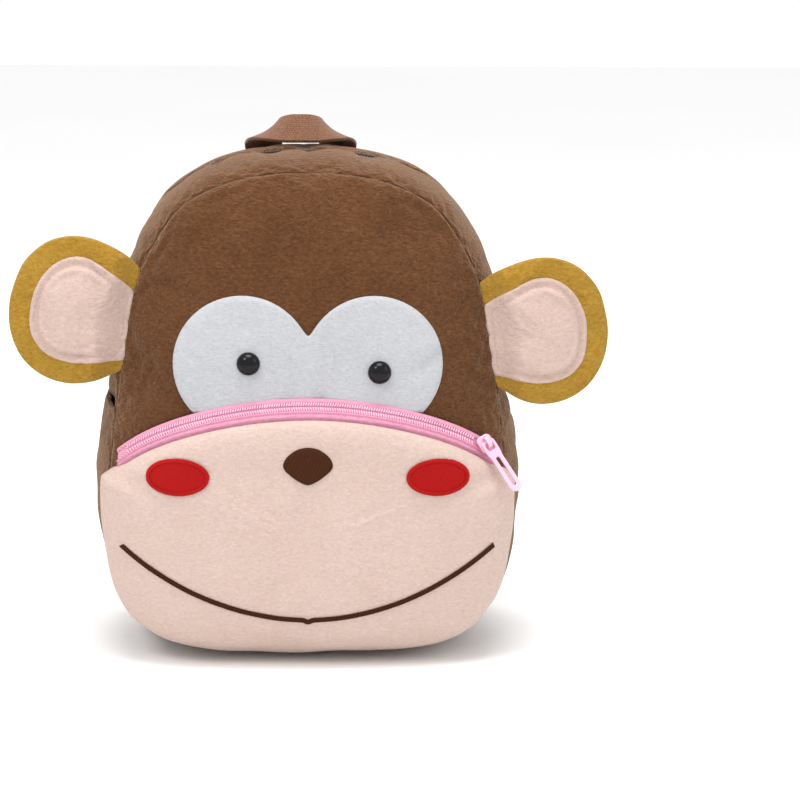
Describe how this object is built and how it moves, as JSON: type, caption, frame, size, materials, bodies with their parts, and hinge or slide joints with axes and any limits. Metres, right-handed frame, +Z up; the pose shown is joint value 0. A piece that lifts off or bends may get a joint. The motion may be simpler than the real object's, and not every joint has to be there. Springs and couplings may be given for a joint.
{
  "type": "plush animal backpack",
  "caption": "Small plush backpack shaped as a monkey's head, with stuffed ears, a zipped muzzle pocket, a webbing handle and padded shoulder straps.",
  "frame": {"origin": "centre of the flat base patch that the bag stands on", "axes": "+Z up, the face looks along -Y, +X to the viewer's right"},
  "size_m": [0.3124, 0.1873, 0.2805],
  "materials": {
    "brown_plush": "short plush",
    "peach_plush": "short plush",
    "yellow_plush": "short plush",
    "pale_pink_plush": "short plush",
    "white_plush": "short plush",
    "red_felt": "felt with a satin-stitched edge",
    "dark_brown_thread": "embroidery",
    "pink_zip": "woven tape and plastic coil",
    "pink_enamel": "gloss enamel",
    "brown_zip": "woven tape and plastic coil",
    "brown_webbing": "ribbed webbing",
    "dark_plastic": "satin",
    "black_bead": "gloss"
  },
  "bodies": {
    "bag": {"front_panel": "brown_plush", "back_panel": "brown_plush", "gusset_lower": "brown_plush", "gusset_upper_front": "brown_plush", "gusset_upper_back": "brown_plush", "main_zip": "brown_zip", "muzzle_pocket": "peach_plush", "pocket_zip_tape": "pink_zip", "pocket_zip_coil": "pink_zip", "pocket_zip_slider": "pink_enamel", "eye_patch": "white_plush", "eye_left": "black_bead", "eye_right": "black_bead", "nose": "dark_brown_thread", "cheek_left": "red_felt", "cheek_right": "red_felt", "smile": "dark_brown_thread", "ear_left": "yellow_plush", "ear_right": "yellow_plush", "ear_patch_left": "pale_pink_plush", "ear_patch_right": "pale_pink_plush", "handle": "brown_webbing", "strap_left": "yellow_plush", "strap_right": "yellow_plush", "web_upper_left": "brown_webbing", "web_upper_right": "brown_webbing", "web_lower_left": "brown_webbing", "web_lower_right": "brown_webbing", "buckle_left": "dark_plastic", "buckle_right": "dark_plastic"},
    "zip_pull": {"pocket_zip_pull": "pink_enamel"}
  },
  "joints": [
    {"name": "pocket_pull_swing", "type": "hinge", "parent": "bag", "child": "zip_pull", "pos_m": [0.09337, -0.06166, 0.11903], "axis": [-0.8258, -0.4153, -0.3816], "range_deg": [0, 140]}
  ]
}
